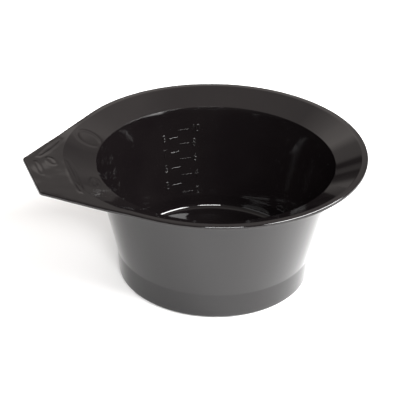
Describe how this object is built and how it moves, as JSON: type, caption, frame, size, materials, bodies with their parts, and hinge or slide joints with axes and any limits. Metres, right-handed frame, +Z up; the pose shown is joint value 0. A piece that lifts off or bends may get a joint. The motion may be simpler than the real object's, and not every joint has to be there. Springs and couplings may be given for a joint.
{
  "type": "hair color bowl",
  "caption": "Tapered round mixing bowl with a sloping flared rim, a flat tab handle, raised volume marks inside and a non-slip ring under its foot.",
  "frame": {"origin": "under the centre of the whole object's box, on the surface that the bowl stands on; the bowl's own axis is vertical at x = +0.0087 m", "axes": "+Z up out of the bowl's mouth, -X towards the tab handle, +Y towards the wall that carries the ounce marks"},
  "size_m": [0.1574, 0.14, 0.065],
  "materials": {
    "black_gloss_plastic": "glossy injection-moulded black, faint moulding waviness and light handling scratches",
    "black_rubber": "matt black soft rubber with a fine grain"
  },
  "bodies": {
    "root": {"bowl_body": "black_gloss_plastic", "non_slip_ring": "black_rubber"}
  },
  "joints": []
}
